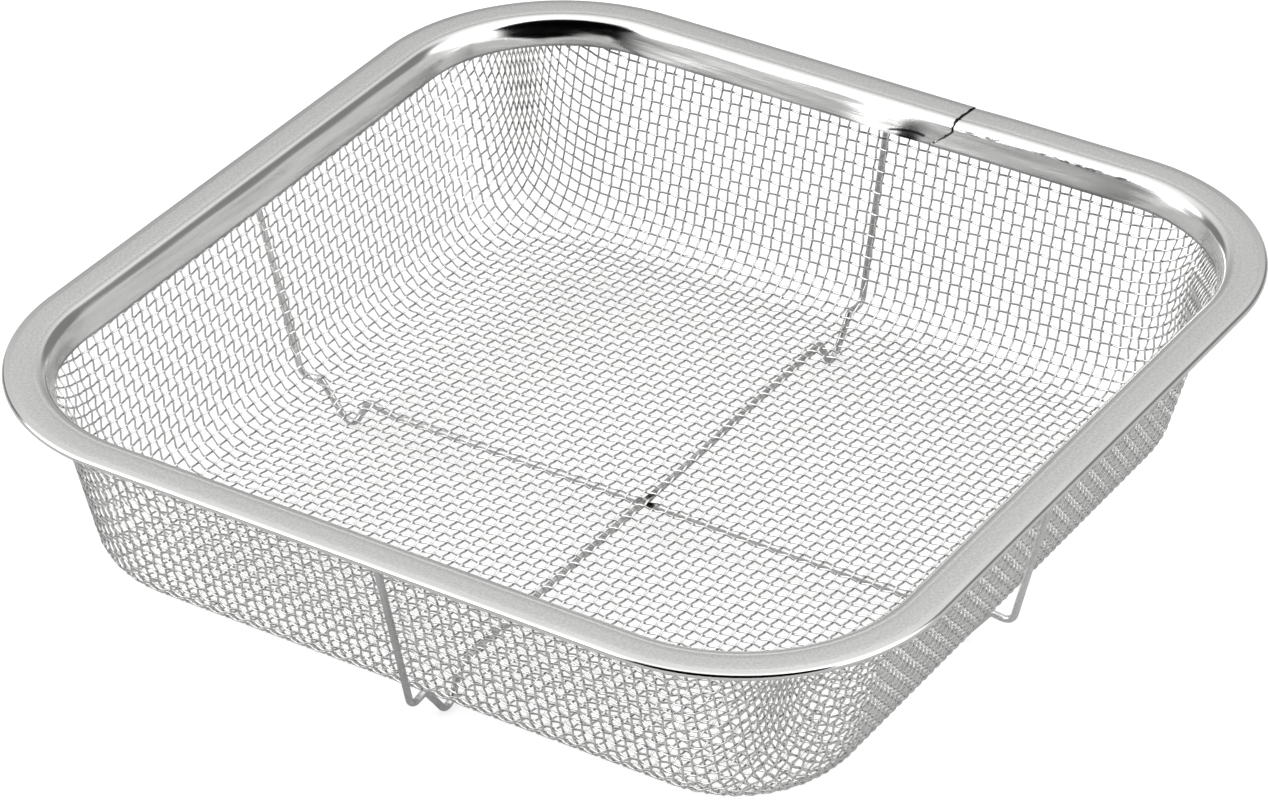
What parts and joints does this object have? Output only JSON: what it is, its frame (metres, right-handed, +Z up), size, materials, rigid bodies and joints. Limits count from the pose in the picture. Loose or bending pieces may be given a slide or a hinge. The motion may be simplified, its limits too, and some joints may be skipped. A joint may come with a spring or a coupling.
{
  "type": "square wire mesh basket strainer",
  "caption": "Shallow square basket strainer: woven wire bowl with rounded corners, a folded flat steel rim, and crossed support wires bent into low feet.",
  "frame": {"origin": "middle of the square footprint, on the plane of the wire feet", "axes": "+Z up through the open top; X and Y along the sides of the square; the rim's butt joint is on the +Y side"},
  "size_m": [0.21, 0.21, 0.0545],
  "materials": {
    "rim_steel": "bright satin",
    "mesh_wire": "bright drawn wire",
    "support_wire": "drawn wire"
  },
  "bodies": {
    "root": {"rim_band": "rim_steel", "mesh_bowl": "mesh_wire", "upper_support_wire": "support_wire", "lower_support_wire": "support_wire"}
  },
  "joints": []
}
